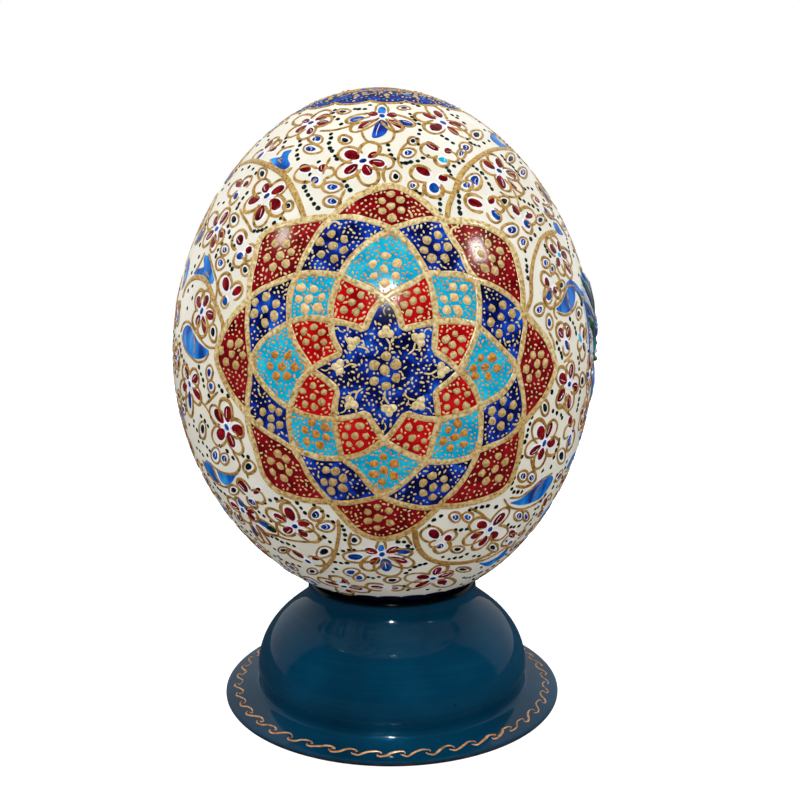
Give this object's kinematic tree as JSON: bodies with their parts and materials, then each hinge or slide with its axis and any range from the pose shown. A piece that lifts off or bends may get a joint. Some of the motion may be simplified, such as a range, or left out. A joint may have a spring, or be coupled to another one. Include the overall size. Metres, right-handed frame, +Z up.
{
  "type": "painted ostrich egg on stand",
  "caption": "Lacquered ostrich egg painted with a star rosette and flowering vines, resting on the open collar of a domed, enamelled metal stand with a scroll-edged flange.",
  "frame": {"origin": "on the surface the stand rests on, under the middle of the whole object's box", "axes": "+Z up along the egg's length; -Y faces the viewer, with the painted rosette; +X to the viewer's right"},
  "size_m": [0.125, 0.125, 0.1815],
  "materials": {
    "egg_lacquer": "ivory ground under clear lacquer",
    "egg_paint": "raised colour paint under clear lacquer",
    "gold_paint": "brushed-on gold paint",
    "stand_enamel": "deep teal-blue gloss enamel",
    "copper_edge": "bare copper edge"
  },
  "bodies": {
    "root": {"egg": "egg_lacquer", "stand": "stand_enamel"}
  },
  "joints": []
}
